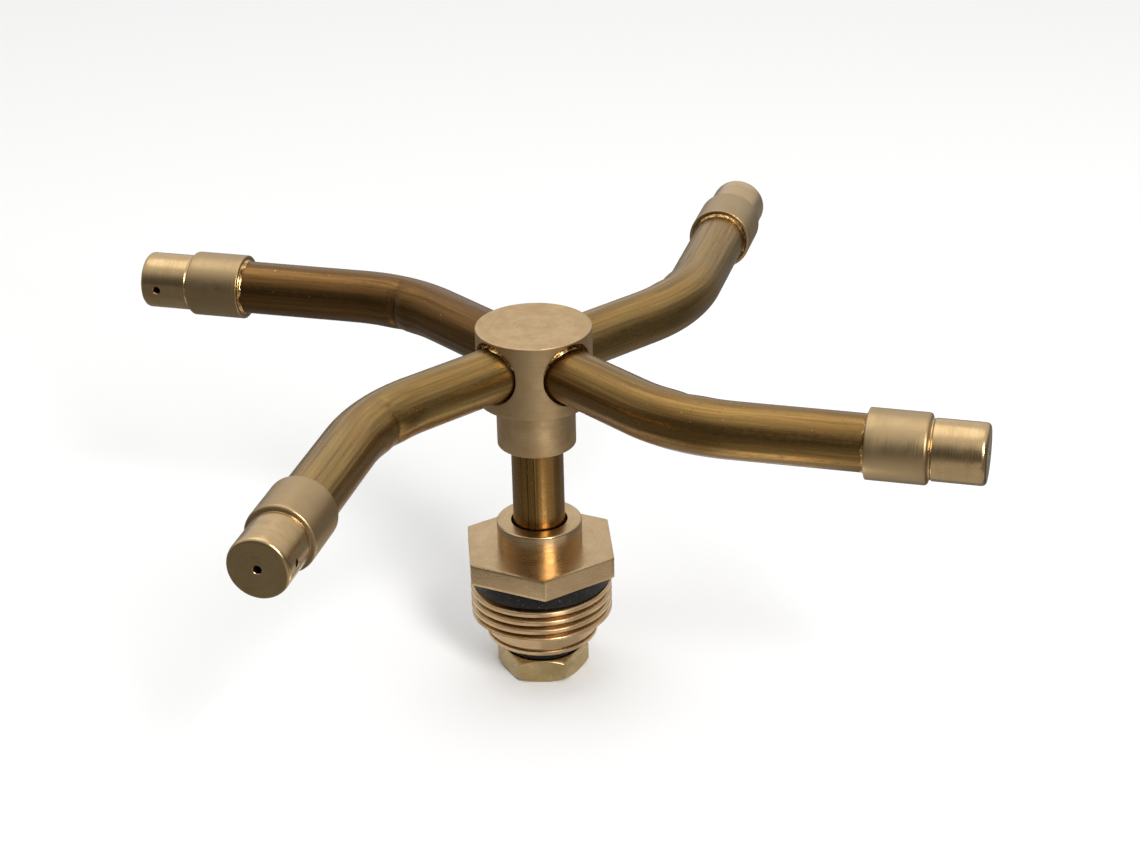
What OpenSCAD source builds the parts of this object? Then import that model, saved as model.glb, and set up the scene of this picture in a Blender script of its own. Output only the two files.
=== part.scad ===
// Four-arm rotary garden sprinkler head in brass.
// A hollow stem slides and spins in a threaded fitting. Four bent arms carry water to
// nozzle caps, and the jets turn the rotor. Millimetres, +Z up.
// Origin: centre of the retaining nut's bottom face, on the spin axis.

/* [Arms] */
// Distance from the spin axis to the corner of the arm's bend
arm_inner = 37; // [32:0.5:50]
// Distance from that corner to the nozzle cap's end face
arm_outer = 52.8; // [46:0.2:70]
// Turn of the bend in the horizontal plane, counter-clockwise seen from above
arm_bend = 34.5; // [15:0.5:50]
// Centreline radius of the bend
bend_r = 32; // [20:1:36]
// Outer diameter of the arm tube
arm_od = 10; // [8:0.5:12]
// Wall of the arm and stem tubes
tube_wall = 1; // [0.8:0.1:1.4]
// Angle of the first arm from +X in the rest pose
rest_turn = 37; // [0:1:89]

/* [Nozzle caps] */
// Wall of the cap's sleeve round the tube
sleeve_wall = 1.1; // [0.9:0.1:3]
// Length of the sleeve
sleeve_len = 10.6; // [8:0.2:13]
// How much the cap's tip is wider than the tube
tip_over = 0.6; // [0.2:0.1:1]
// Length of the tip
tip_len = 9.5; // [8:0.5:12]
// Diameter of the end and side spray holes
spray_d = 1.4; // [0.8:0.1:2]
// Distance from the end face to the side spray hole
side_hole_at = 3.4; // [2.6:0.1:5]

/* [Hub] */
// Diameter of the hub's upper cylinder
hub_d = 21; // [17.4:0.2:30]
// Thickness of the hub's top above the arm sockets
hub_lid = 1.15; // [0.6:0.05:4]
// Thickness of the lip that the top leaves over the mouths of the arm sockets
lip = 0.45; // [0.3:0.05:0.55]
// Thickness of the upper cylinder below the arm sockets
hub_floor = 1.9; // [1:0.1:5]
// Diameter of the lower collar
collar_d = 14.4; // [12:0.2:17.2]
// Height of the lower collar
collar_h = 9.1; // [7:0.1:12]

/* [Stem] */
// Outer diameter of the stem tube
stem_od = 9.6; // [8:0.2:11.6]
// Bare stem between fitting and hub collar in the raised pose
stem_gap = 15.9; // [6:0.1:30]
// Radial running clearance of the stem in the fitting
run_gap = 0.05; // [0.02:0.01:0.1]

/* [Fitting] */
// Diameter of the fitting's collar
boss_d = 15.8; // [13.2:0.2:20]
// Height of the fitting's collar
boss_h = 5.1; // [4:0.1:10]
// How much the spanner hex is wider across flats than the thread
hex_over = 0.06; // [0:0.01:6]
// Thickness of the spanner hex
hex_h = 4.1; // [3:0.1:8]
// Major diameter of the male thread
thread_d = 26.44; // [22:0.01:32]
// Thread pitch
thread_pitch = 1.814; // [1.4:0.001:2.3]
// Depth of the thread
thread_depth = 1.16; // [0.8:0.01:1.5]
// Step from the thread's root in to the plain pilot below it
pilot_step = 1.66; // [0.6:0.02:2.5]
// Height of the plain pilot
pilot_h = 3.6; // [3:0.1:6]

/* [Seals and nut] */
// Thickness of the rubber sealing ring under the hex
ring_h = 3; // [2:0.1:4]
// How far the sealing ring's edge stays inside the thread's crest
ring_in = 0.25; // [0.15:0.05:0.8]
// Thickness of the rubber thrust washer
washer_h = 2.7; // [1.5:0.1:4]
// Diameter of the thrust washer
washer_d = 14.4; // [12:0.2:17.4]
// Retaining nut across flats
nut_af = 15; // [12.5:0.1:18]
// Retaining nut height
nut_h = 4.6; // [4:0.1:8]

/* [Hidden] */
$fn = 96;
eps = 0.5;
// clearance of a tube in its socket
seat_gap = 0.03;
// clearance between solder and what it fills
film = 0.01;
// width of the solder groove round a tube
groove = 0.42;
arm_r = arm_od / 2;
stem_r = stem_od / 2;
bore_r = arm_r - tube_wall;
stem_bore_r = stem_r - tube_wall;
sleeve_r = arm_r + sleeve_wall;
tip_r = arm_r + tip_over / 2;
hub_r = hub_d / 2;
sock_r = arm_r + groove;
arm_drop = hub_lid + sock_r;
hub_h = arm_drop + sock_r + hub_floor;
// stack of heights from the nut upwards
z_washer = nut_h;
z_pilot = z_washer + washer_h;
z_thread = z_pilot + pilot_h;
turns = 4;
relief_h = 0.5;
thread_len = turns * thread_pitch + 0.2;
z_ring = z_thread + thread_len + relief_h;
z_hex = z_ring + ring_h;
z_boss = z_hex + hex_h;
z_boss_top = z_boss + boss_h;
z_collar = z_boss_top + stem_gap;
z_hub = z_collar + collar_h;
z_top = z_hub + hub_h;
z_arm = z_top - arm_drop;
// arm path
bend_start = arm_inner - bend_r * tan(arm_bend / 2);
bend_reach = bend_r * tan(arm_bend / 2);
tube_seat = arm_r + 0.5;
cap_len = sleeve_len + tip_len;
cap_start = arm_outer - cap_len;
tube_in_cap = sleeve_len - 2;
tube_end = cap_start + tube_in_cap;
// solder grooves
sock_at = hub_r - 2.4;
mouth_up = hub_lid - lip;
solder_r = hub_r - 0.35;
stem_top = z_collar + collar_h - 1.4;
// thread
crest_r = thread_d / 2;
root_r = crest_r - thread_depth;
crest_flat = thread_pitch * 0.28;
root_flat = thread_pitch * 0.2;
relief_r = root_r - 0.35;
pilot_r = root_r - pilot_step;
hex_r = (thread_d + hex_over) / 2 / cos(30);
nut_r = nut_af / 2 / cos(30);
// the tube swells by this much in its bend, which starts inside the straight parts
swell = 0.02;
lap = 0.1;
colour_turned = [0.72, 0.58, 0.42];
colour_tube = [0.52, 0.40, 0.20];
colour_nut = [0.62, 0.52, 0.32];
colour_solder = [0.85, 0.62, 0.28];
colour_rubber = [0.06, 0.06, 0.07];

// Places its children at arm k, with +X along the arm's root.
module at_arm(k) {
    translate([0, 0, z_arm])
        rotate([0, 0, rest_turn + 90 * k])
            children();
}

// Places its children past the bend, at a distance from the bend's corner, +Z outwards.
module past_bend(d) {
    translate([arm_inner, 0, 0])
        rotate([0, 0, arm_bend])
            translate([d, 0, 0])
                rotate([0, 90, 0])
                    children();
}

// One solid rod along the arm's path, from x = a to d past the bend's corner.
module arm_rod(r, a, d) {
    translate([a, 0, 0])
        rotate([0, 90, 0])
            cylinder(r = r, h = bend_start - a + lap);
    translate([bend_start, bend_r, 0])
        rotate([0, 0, -90])
            rotate_extrude(angle = arm_bend)
                translate([bend_r, 0])
                    circle(r = r + swell);
    past_bend(bend_reach - lap)
        cylinder(r = r, h = d - bend_reach + lap);
}

// Solder groove at the mouth of an arm socket, open at the top up to the lip, smaller all round by a gap.
module groove_room(gap) {
    translate([0, 0, sock_at])
        cylinder(r = sock_r - gap, h = hub_d);
    translate([-mouth_up, 0, sock_at])
        cylinder(r = sock_r - gap, h = hub_d);
}

// Turned hub: upper cylinder with four arm sockets, lower collar with the stem socket.
module hub() {
    color(colour_turned)
        difference() {
            rotate_extrude()
                polygon([
                    [0, z_collar],
                    [collar_d / 2 - 0.3, z_collar],
                    [collar_d / 2, z_collar + 0.3],
                    [collar_d / 2, z_hub],
                    [hub_r - 0.2, z_hub],
                    [hub_r, z_hub + 0.2],
                    [hub_r, z_top - 0.15],
                    [hub_r - 0.15, z_top],
                    [0, z_top]
                ]);
            // stem socket, solder groove and riser
            translate([0, 0, z_collar - eps])
                cylinder(r = stem_r + seat_gap, h = stem_top - z_collar + eps);
            translate([0, 0, z_collar - eps])
                cylinder(r = stem_r + groove, h = 0.8 + eps);
            translate([0, 0, stem_top - eps])
                cylinder(r = stem_bore_r, h = z_arm - stem_top + eps);
            // arm sockets and solder grooves
            for (k = [0:3])
                at_arm(k)
                    rotate([0, 90, 0]) {
                        cylinder(r = bore_r, h = tube_seat + eps);
                        translate([0, 0, tube_seat])
                            cylinder(r = arm_r + seat_gap, h = hub_d);
                        groove_room(0);
                    }
        }
}

// Bent arm tube.
module arm_tube(k) {
    color(colour_tube)
        at_arm(k)
            difference() {
                arm_rod(arm_r, tube_seat, tube_end);
                arm_rod(bore_r, tube_seat - eps, tube_end + eps);
            }
}

// Ring of solder in the groove between arm tube and hub.
module hub_solder(k) {
    color(colour_solder)
        at_arm(k)
            intersection() {
                rotate([0, 90, 0])
                    difference() {
                        groove_room(film);
                        translate([0, 0, sock_at - eps])
                            cylinder(r = arm_r + film, h = hub_d + 2 * eps);
                    }
                translate([0, 0, -hub_d])
                    cylinder(r = solder_r, h = 2 * hub_d);
            }
}

// Turned nozzle cap: sleeve over the tube's end, stepped tip, end hole and side hole.
module nozzle_cap(k) {
    color(colour_turned)
        at_arm(k)
            past_bend(cap_start)
                difference() {
                    rotate_extrude()
                        polygon([
                            [arm_r + groove, 0],
                            [sleeve_r - 0.2, 0],
                            [sleeve_r, 0.2],
                            [sleeve_r, sleeve_len - 0.6],
                            [sleeve_r - 0.6, sleeve_len],
                            [tip_r - 0.1, sleeve_len],
                            [tip_r - 0.1, sleeve_len + 0.4],
                            [tip_r, sleeve_len + 0.6],
                            [tip_r, cap_len - 0.5],
                            [tip_r - 0.5, cap_len],
                            [spray_d / 2, cap_len],
                            [spray_d / 2, cap_len - 1.4],
                            [bore_r - 0.6, cap_len - 1.4],
                            [bore_r - 0.6, sleeve_len - 0.6],
                            [bore_r, sleeve_len - 0.6],
                            [bore_r, tube_in_cap],
                            [arm_r + seat_gap, tube_in_cap],
                            [arm_r + seat_gap, 1],
                            [arm_r + groove, 1]
                        ]);
                    // side hole, facing counter-clockwise
                    translate([0, 0, cap_len - side_hole_at])
                        rotate([-90, 0, 0])
                            cylinder(d = spray_d, h = 2 * tip_r);
                }
}

// Solder in the mouth of the cap's sleeve, with a small fillet on the tube.
module cap_solder(k) {
    color(colour_solder)
        at_arm(k)
            past_bend(cap_start)
                rotate_extrude()
                    polygon([
                        [arm_r + film, -0.5],
                        [arm_r + 0.12, -0.5],
                        [arm_r + groove - film, 0],
                        [arm_r + groove - film, 1],
                        [arm_r + film, 1]
                    ]);
}

// Straight hollow stem from the nut up into the hub.
module stem_tube() {
    color(colour_tube)
        translate([0, 0, 0.6])
            difference() {
                cylinder(r = stem_r, h = stem_top - 0.6);
                translate([0, 0, -eps])
                    cylinder(r = stem_bore_r, h = stem_top - 0.6 + 2 * eps);
            }
}

// Ring of solder between stem and hub collar.
module stem_solder() {
    color(colour_solder)
        translate([0, 0, z_collar + 0.1])
            difference() {
                cylinder(r = stem_r + groove - film, h = 0.7);
                translate([0, 0, -eps])
                    cylinder(r = stem_r + film, h = 0.7 + 2 * eps);
            }
}

// Chamfered hex nut on the stem's lower end, with the water inlet through it.
module retaining_nut() {
    color(colour_nut)
        difference() {
            intersection() {
                rotate([0, 0, rest_turn + 18])
                    cylinder(r = nut_r, h = nut_h, $fn = 6);
                rotate_extrude()
                    polygon([
                        [0, 0],
                        [nut_af / 2 - 0.1, 0],
                        [nut_r + 0.2, 0.9],
                        [nut_r + 0.2, nut_h - 0.9],
                        [nut_af / 2 - 0.1, nut_h],
                        [0, nut_h]
                    ]);
            }
            translate([0, 0, -eps])
                cylinder(r = stem_bore_r, h = nut_h);
            translate([0, 0, 0.6])
                cylinder(r = stem_r + seat_gap, h = nut_h);
        }
}

// Rubber washer that rides on the nut and stops against the fitting.
module thrust_washer() {
    color(colour_rubber)
        translate([0, 0, z_washer])
            difference() {
                cylinder(d = washer_d, h = washer_h);
                translate([0, 0, -eps])
                    cylinder(r = stem_r + run_gap, h = washer_h + 2 * eps);
            }
}

// One thread crest of the given crest radius, centred at height z.
module crest(z, r) {
    rise = (thread_pitch - crest_flat - root_flat) / 2 * (r - root_r) / thread_depth;
    translate([0, 0, z])
        rotate_extrude()
            polygon([
                [root_r - 0.4, -crest_flat / 2 - rise],
                [root_r, -crest_flat / 2 - rise],
                [r, -crest_flat / 2],
                [r, crest_flat / 2],
                [root_r, crest_flat / 2 + rise],
                [root_r - 0.4, crest_flat / 2 + rise]
            ]);
}

// Threaded fitting: collar, spanner hex, male thread and plain pilot round the stem's bore.
module fitting_body() {
    color(colour_turned)
        difference() {
            union() {
                rotate_extrude()
                    polygon([
                        [0, z_pilot],
                        [pilot_r - 0.4, z_pilot],
                        [pilot_r, z_pilot + 0.4],
                        [pilot_r, z_pilot + 1.1],
                        [pilot_r - 0.4, z_pilot + 1.2],
                        [pilot_r - 0.4, z_pilot + 1.5],
                        [pilot_r, z_pilot + 1.6],
                        [pilot_r, z_thread],
                        [root_r, z_thread + 0.4],
                        [root_r, z_ring - relief_h],
                        [relief_r, z_ring - relief_h],
                        [relief_r, z_hex],
                        [boss_d / 2, z_hex],
                        [boss_d / 2, z_boss_top - 0.3],
                        [boss_d / 2 - 0.3, z_boss_top],
                        [0, z_boss_top]
                    ]);
                for (i = [0:turns - 1])
                    crest(
                        z_thread + 0.4 + thread_pitch * (i + 0.36),
                        i == 0 ? crest_r - 0.55 * thread_depth : crest_r
                    );
                translate([0, 0, z_hex])
                    rotate([0, 0, -90])
                        cylinder(r = hex_r, h = hex_h, $fn = 6);
            }
            translate([0, 0, z_pilot - eps])
                cylinder(r = stem_r + run_gap, h = z_boss_top - z_pilot + 2 * eps);
            translate([0, 0, z_boss_top - 2.5])
                cylinder(r = stem_r + 0.55, h = 2.5 + eps);
        }
}

// Flat rubber sealing ring under the spanner hex.
module sealing_ring() {
    color(colour_rubber)
        translate([0, 0, z_ring])
            difference() {
                cylinder(r = crest_r - ring_in, h = ring_h);
                translate([0, 0, -eps])
                    cylinder(r = relief_r + seat_gap, h = ring_h + 2 * eps);
            }
}

hub();
arm_tube(0);  // arm_tube_1
arm_tube(1);  // arm_tube_2
arm_tube(2);  // arm_tube_3
arm_tube(3);  // arm_tube_4
nozzle_cap(0);  // nozzle_cap_1
nozzle_cap(1);  // nozzle_cap_2
nozzle_cap(2);  // nozzle_cap_3
nozzle_cap(3);  // nozzle_cap_4
hub_solder(0);  // hub_solder_1
hub_solder(1);  // hub_solder_2
hub_solder(2);  // hub_solder_3
hub_solder(3);  // hub_solder_4
cap_solder(0);  // cap_solder_1
cap_solder(1);  // cap_solder_2
cap_solder(2);  // cap_solder_3
cap_solder(3);  // cap_solder_4
stem_tube();
stem_solder();
retaining_nut();
thrust_washer();
fitting_body();
sealing_ring();
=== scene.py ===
import math

import bmesh
import bpy
import numpy as np
from mathutils import Matrix, Vector


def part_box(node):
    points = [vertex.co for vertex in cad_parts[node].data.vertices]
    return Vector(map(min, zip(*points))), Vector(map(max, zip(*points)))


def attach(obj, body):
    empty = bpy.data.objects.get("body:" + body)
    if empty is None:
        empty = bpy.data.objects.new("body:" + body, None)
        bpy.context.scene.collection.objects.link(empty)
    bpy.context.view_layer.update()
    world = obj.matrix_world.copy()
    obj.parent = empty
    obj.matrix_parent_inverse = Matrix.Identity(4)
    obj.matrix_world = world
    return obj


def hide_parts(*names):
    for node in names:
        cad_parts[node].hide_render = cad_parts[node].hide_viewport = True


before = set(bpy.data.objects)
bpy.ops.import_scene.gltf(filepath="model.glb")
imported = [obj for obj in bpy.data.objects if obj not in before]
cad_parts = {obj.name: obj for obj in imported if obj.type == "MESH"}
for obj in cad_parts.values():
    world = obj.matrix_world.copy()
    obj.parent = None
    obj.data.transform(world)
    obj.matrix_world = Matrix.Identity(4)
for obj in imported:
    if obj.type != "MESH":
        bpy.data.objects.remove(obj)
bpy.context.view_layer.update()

TAU = 2 * math.pi
rng = np.random.default_rng(7)


# ---------------------------------------------------------------- places, from the frame, in mm
def box_mm(node):
    low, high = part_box(node)
    return np.array(low) * 1000, np.array(high) * 1000


hub_lo, hub_hi = box_mm("hub")
stem_lo, stem_hi = box_mm("stem_tube")
nut_lo, nut_hi = box_mm("retaining_nut")
washer_lo, washer_hi = box_mm("thrust_washer")
fit_lo, fit_hi = box_mm("fitting_body")
ring_lo, ring_hi = box_mm("sealing_ring")
tube_lo, tube_hi = box_mm("arm_tube_1")
joint_lo, joint_hi = box_mm("stem_solder")

# wall, socket groove and fits, as in the part
WALL, GROOVE, SEAT_GAP, RUN_GAP = 1.0, 0.42, 0.03, 0.05
# gaps that keep meshes apart where the part's own surfaces touch or nearly touch
FILM, HAIR = 0.012, 0.015

Z_TOP, Z_COLLAR = hub_hi[2], hub_lo[2]
COLLAR_H, COLLAR_R = 9.1, 7.2
Z_HUB = Z_COLLAR + COLLAR_H
Z_ARM = (tube_lo[2] + tube_hi[2]) / 2
HUB_R = (hub_hi[0] - hub_lo[0]) / 2
ARM_R = 5.0
BORE_R, SOCK_R = ARM_R - WALL, ARM_R + GROOVE
# the socket's groove starts at SOCK_AT and opens upwards by MOUTH_UP
SOCK_AT, MOUTH_UP = HUB_R - 2.4, 0.7
STEM_R = (stem_hi[0] - stem_lo[0]) / 2
STEM_BORE_R = STEM_R - WALL
HEX_AF = fit_hi[0] - fit_lo[0]
CREST_R, THREAD_DEPTH, RELIEF = 13.22, 1.16, 0.35
ROOT_R = CREST_R - THREAD_DEPTH
RELIEF_R = ROOT_R - RELIEF
RING_R = (ring_hi[0] - ring_lo[0]) / 2
WASHER_R = (washer_hi[0] - washer_lo[0]) / 2

# how far the own coordinates of each further copy are shifted, so that no two copies have the same marks
TUBE_SHIFT, CAP_SHIFT, HUB_JOINT_SHIFT, CAP_JOINT_SHIFT = 211.0, 57.0, 31.0, 41.0

# the first arm's direction, from the middle of its solder ring, to a whole degree
ring_verts = np.array([v.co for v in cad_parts["hub_solder_1"].data.vertices])
first_x, first_y = ring_verts[:, 0].mean(), ring_verts[:, 1].mean()
FIRST = math.radians(round(math.degrees(math.atan2(first_y, first_x))))

# the arm's path: straight, bend, straight. S values are lengths along it: the tube's seat in the hub, the
# start of the bend and of the straight after it, the cap's start, and the tube's end at SEAT_END in the cap
BEND, BEND_R, CORNER, CORNER_TO_CAP = math.radians(34.5), 32.0, 37.0, 32.7
CAP_LEN, SLEEVE_LEN = 20.1, 10.6
SEAT_END = SLEEVE_LEN - 2
REACH = BEND_R * math.tan(BEND / 2)
S_SEAT = 5.5
S_BEND = CORNER - REACH
S_STRAIGHT = S_BEND + BEND_R * BEND
S_CAP = S_STRAIGHT + CORNER_TO_CAP - REACH
S_TUBE_END = S_CAP + SEAT_END


# ---------------------------------------------------------------- mesh tools
def angles(n, start=0.0):
    return start + np.arange(n) * TAU / n


def ring(r, z, n, start=0.0):
    """n points round the axis. Radius and height may vary round it."""
    t = angles(n, start)
    r = np.broadcast_to(r, n)
    return np.stack([r * np.cos(t), r * np.sin(t), np.broadcast_to(z, n)], 1)


def soften(points, steps=4, closed=False):
    """A polyline of (r, z, fillet) with its corners rounded."""
    out = []
    m = len(points)
    for i, (r, z, f) in enumerate(points):
        p = np.array([r, z], float)
        if f <= 0 or (not closed and i in (0, m - 1)):
            out.append(p)
            continue
        before = np.array(points[i - 1][:2], float) - p
        after = np.array(points[(i + 1) % m][:2], float) - p
        a = min(f, 0.46 * np.linalg.norm(before))
        b = min(f, 0.46 * np.linalg.norm(after))
        p0 = p + before / np.linalg.norm(before) * a
        p2 = p + after / np.linalg.norm(after) * b
        for t in np.linspace(0, 1, steps + 1):
            out.append((1 - t) ** 2 * p0 + 2 * t * (1 - t) * p + t * t * p2)
    return out


def skin(rings, closed):
    """Vertices and faces through rings of equal length. closed joins the last ring to the first."""
    rings = np.asarray(rings, float)
    m, n, _ = rings.shape
    faces = []
    for i in range(m if closed else m - 1):
        a, b = i * n, ((i + 1) % m) * n
        for j in range(n):
            k = (j + 1) % n
            faces.append((a + j, a + k, b + k, b + j))
    if not closed:
        faces.append(tuple(range(n - 1, -1, -1)))
        faces.append(tuple((m - 1) * n + j for j in range(n)))
    return rings.reshape(-1, 3), faces


def divide(points, longest):
    """A polyline with its long stretches divided, and without its last point."""
    out = []
    for a, b in zip(points, points[1:]):
        steps = max(1, int(np.linalg.norm(np.subtract(b, a)) / longest))
        out += [np.add(a, np.subtract(b, a) * i / steps) for i in range(steps)]
    return out


def build(name, verts, faces, own, sharp=32.0):
    """A mesh object from vertices in mm, with its unbent, upright coordinates kept for the materials."""
    mesh = bpy.data.meshes.new(name)
    mesh.from_pydata((np.asarray(verts) * 0.001).tolist(), [], faces)
    mesh.update()
    at = mesh.attributes.new("own", "FLOAT_VECTOR", "POINT")
    at.data.foreach_set("vector", np.asarray(own, np.float32).ravel())
    obj = bpy.data.objects.new(name, mesh)
    bpy.context.scene.collection.objects.link(obj)
    smooth(obj, sharp)
    return obj


def smooth(obj, sharp):
    """Smooth shading, except at edges sharper than an angle in degrees."""
    mesh = obj.data
    mesh.polygons.foreach_set("use_smooth", [True] * len(mesh.polygons))
    mesh.set_sharp_from_angle(angle=math.radians(sharp))
    mesh.update()


def weld(obj, distance=2e-7):
    """Merges points that coincide and turns all faces outwards."""
    bm = bmesh.new()
    bm.from_mesh(obj.data)
    bmesh.ops.remove_doubles(bm, verts=bm.verts, dist=distance)
    bmesh.ops.recalc_face_normals(bm, faces=bm.faces)
    bm.to_mesh(obj.data)
    bm.free()


def cutter(name, rings):
    """A closed mesh through rings of points, for carve() to cut out of a piece."""
    verts, faces = skin(rings, False)
    obj = build(name, verts, faces, verts)
    weld(obj)
    return obj


def carve(obj, cutters, own_of, sharp):
    """Cuts closed meshes out of obj, then gives every vertex its own coordinate again."""
    for c in cutters:
        m = obj.modifiers.new("cut", "BOOLEAN")
        m.operation, m.solver, m.object = "DIFFERENCE", "EXACT", c
    graph = bpy.context.evaluated_depsgraph_get()
    mesh = bpy.data.meshes.new_from_object(obj.evaluated_get(graph))
    obj.modifiers.clear()
    old = obj.data
    obj.data = mesh
    bpy.data.meshes.remove(old)
    for c in cutters:
        bpy.data.objects.remove(c)
    if "own" in mesh.attributes:
        mesh.attributes.remove(mesh.attributes["own"])
    weld(obj)
    co = np.array([v.co for v in mesh.vertices]) * 1000
    at = mesh.attributes.new("own", "FLOAT_VECTOR", "POINT")
    at.data.foreach_set("vector", own_of(co).astype(np.float32).ravel())
    smooth(obj, sharp)


def at_arm(k, x, y, z):
    """Points in the object's coordinates, from x along arm k's root, y to its left and z upwards."""
    turn = FIRST + k * TAU / 4
    c, s = math.cos(turn), math.sin(turn)
    return np.stack([c * x - s * y, s * x + c * y, z], -1)


def finish_piece(obj, body, node, material):
    """Gives a piece its material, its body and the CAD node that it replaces."""
    obj.data.materials.clear()
    obj.data.materials.append(material)
    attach(obj, body)
    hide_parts(node)


def waves(t, count, low, high, size):
    """A smooth, repeating unevenness round an angle t."""
    out = np.zeros_like(t)
    for f in rng.integers(low, high, count):
        out += np.sin(f * t + rng.uniform(0, TAU)) / count
    return out * size


# ---------------------------------------------------------------- materials
class Look:
    """A node material in each piece's own coordinates, in mm, where +Z is its axis of turning or drawing."""

    def __init__(self, name, colour, metallic=1.0, roughness=0.3):
        self.mat = bpy.data.materials.new(name)
        self.mat.use_nodes = True
        self.mat.diffuse_color = (*colour, 1)
        self.tree = self.mat.node_tree
        self.bsdf = self.tree.nodes["Principled BSDF"]
        self.bsdf.inputs["Metallic"].default_value = metallic
        self.bsdf.inputs["Roughness"].default_value = roughness
        self.bsdf.inputs["Base Color"].default_value = (*colour, 1)
        own = self.tree.nodes.new("ShaderNodeAttribute")
        own.attribute_name = "own"
        self.own = own.outputs["Vector"]
        split = self.tree.nodes.new("ShaderNodeSeparateXYZ")
        self.link(self.own, split.inputs[0])
        self.x, self.y, self.z = split.outputs
        squares = [self.math("MULTIPLY", v, v) for v in (self.x, self.y)]
        self.r = self.math("SQRT", self.math("ADD", *squares))

    def link(self, a, b):
        self.tree.links.new(a, b)

    def put(self, value, socket):
        if isinstance(value, bpy.types.NodeSocket):
            self.link(value, socket)
        else:
            socket.default_value = value

    def math(self, kind, a, b=0.0, clamp=False):
        n = self.tree.nodes.new("ShaderNodeMath")
        n.operation, n.use_clamp = kind, clamp
        self.put(a, n.inputs[0])
        self.put(b, n.inputs[1])
        return n.outputs[0]

    def vector(self, x, y, z):
        n = self.tree.nodes.new("ShaderNodeCombineXYZ")
        for value, socket in zip((x, y, z), n.inputs):
            self.put(value, socket)
        return n.outputs[0]

    def scaled(self, sx, sy, sz):
        n = self.tree.nodes.new("ShaderNodeVectorMath")
        n.operation = "MULTIPLY"
        self.link(self.own, n.inputs[0])
        n.inputs[1].default_value = (sx, sy, sz)
        return n.outputs[0]

    def turned(self, along, around):
        """Coordinates that vary quickly across the turning marks and slowly along them."""
        return self.vector(self.math("MULTIPLY", self.r, along), self.math("MULTIPLY", self.z, along),
                           self.math("MULTIPLY", self.math("ARCTAN2", self.y, self.x), around))

    def noise(self, at, scale=1.0, detail=3.0, rough=0.55):
        n = self.tree.nodes.new("ShaderNodeTexNoise")
        self.link(at, n.inputs["Vector"])
        n.inputs["Scale"].default_value = scale
        n.inputs["Detail"].default_value = detail
        n.inputs["Roughness"].default_value = rough
        return n.outputs["Fac"]

    def span(self, value, low, high, out_low=0.0, out_high=1.0):
        n = self.tree.nodes.new("ShaderNodeMapRange")
        self.put(value, n.inputs["Value"])
        for key, v in (("From Min", low), ("From Max", high), ("To Min", out_low), ("To Max", out_high)):
            n.inputs[key].default_value = v
        return n.outputs[0]

    def mix(self, fac, a, b, kind="MIX"):
        n = self.tree.nodes.new("ShaderNodeMix")
        n.data_type, n.blend_type, n.clamp_factor = "RGBA", kind, True
        self.put(fac, n.inputs["Factor"])
        for value, key in ((a, 6), (b, 7)):
            self.put((*value, 1) if isinstance(value, tuple) else value, n.inputs[key])
        return n.outputs[2]

    def bump(self, height, strength, distance):
        n = self.tree.nodes.new("ShaderNodeBump")
        n.inputs["Strength"].default_value = strength
        n.inputs["Distance"].default_value = distance
        self.link(height, n.inputs["Height"])
        self.link(n.outputs[0], self.bsdf.inputs["Normal"])

    def out(self, colour, roughness):
        self.link(colour, self.bsdf.inputs["Base Color"])
        self.link(roughness, self.bsdf.inputs["Roughness"])
        return self.mat


def turned_brass(name, light, dark, rough, marks=3.2, tarnish=0.5, dull_beyond=None):
    """Machined brass: fine turning marks, soft mottling and a few specks, duller beyond a radius."""
    k = Look(name, light, 1.0, rough)
    lines = k.noise(k.turned(marks, 0.35), 1.0, 4.0, 0.65)
    coarse = k.noise(k.turned(marks * 0.28, 0.5), 1.0, 2.0)
    cloud = k.noise(k.scaled(0.32, 0.32, 0.32), 1.0, 4.0, 0.6)
    grain = k.noise(k.scaled(5.0, 5.0, 5.0), 1.0, 2.0)
    colour = k.mix(k.span(cloud, 0.36, 0.68, 0.0, tarnish), light, dark)
    colour = k.mix(k.span(lines, 0.35, 0.7, 0.0, 0.35), colour, dark)
    colour = k.mix(k.span(coarse, 0.52, 0.72, 0.0, 0.25), colour, tuple(min(1, 1.12 * c) for c in light))
    specks = k.span(k.noise(k.scaled(2.3, 2.3, 2.3), 1.0, 1.0), 0.73, 0.78)
    colour = k.mix(k.math("MULTIPLY", specks, 0.5), colour, tuple(0.35 * c for c in dark))
    roughness = k.math("ADD", k.span(lines, 0.3, 0.7, rough - 0.05, rough + 0.07),
                       k.span(cloud, 0.35, 0.65, -0.03, 0.05))
    if dull_beyond:
        dull = k.span(k.r, dull_beyond, dull_beyond + 0.15)
        faded = tuple(0.62 * a + 0.05 * b for a, b in zip(light, dark))
        colour = k.mix(k.math("MULTIPLY", dull, 0.8), colour, faded)
        roughness = k.math("ADD", roughness, k.math("MULTIPLY", dull, 0.14))
    height = k.math("ADD", k.math("MULTIPLY", lines, 1.0), k.math("MULTIPLY", grain, 0.25))
    k.bump(height, 0.35, 0.00004)
    return k.out(colour, roughness)


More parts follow.
